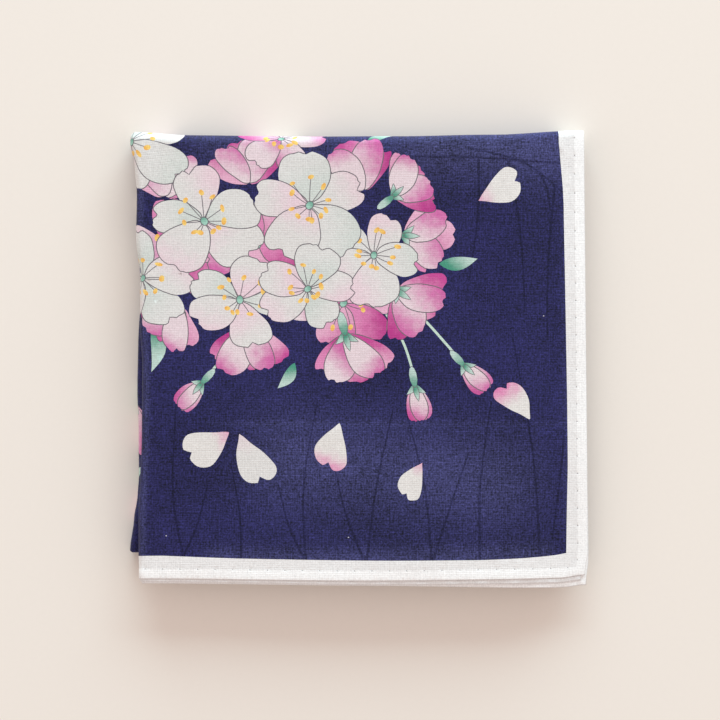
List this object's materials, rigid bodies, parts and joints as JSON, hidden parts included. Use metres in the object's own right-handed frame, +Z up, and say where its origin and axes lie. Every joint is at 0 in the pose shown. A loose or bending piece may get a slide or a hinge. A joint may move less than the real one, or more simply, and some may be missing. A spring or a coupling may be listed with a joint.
{
  "type": "folded handkerchief",
  "caption": "Thin square printed cotton cloth with a plain white hem, folded into a flat, square, layered pile that lies on a table or in a pocket.",
  "frame": {"origin": "on the surface that the pile lies on, under the middle of its bounding box", "axes": "+X to the right and +Y away from a viewer who looks down on the printed face, +Z up out of the surface; the open hems are at +X and -Y, the folds at -X and +Y"},
  "size_m": [0.1282, 0.1272, 0.0108],
  "materials": {
    "printed_cotton": "matt plain-weave cotton, dark blue ground with a blossom print and a white border"
  },
  "bodies": {
    "root": {"handkerchief": "printed_cotton"}
  },
  "joints": []
}
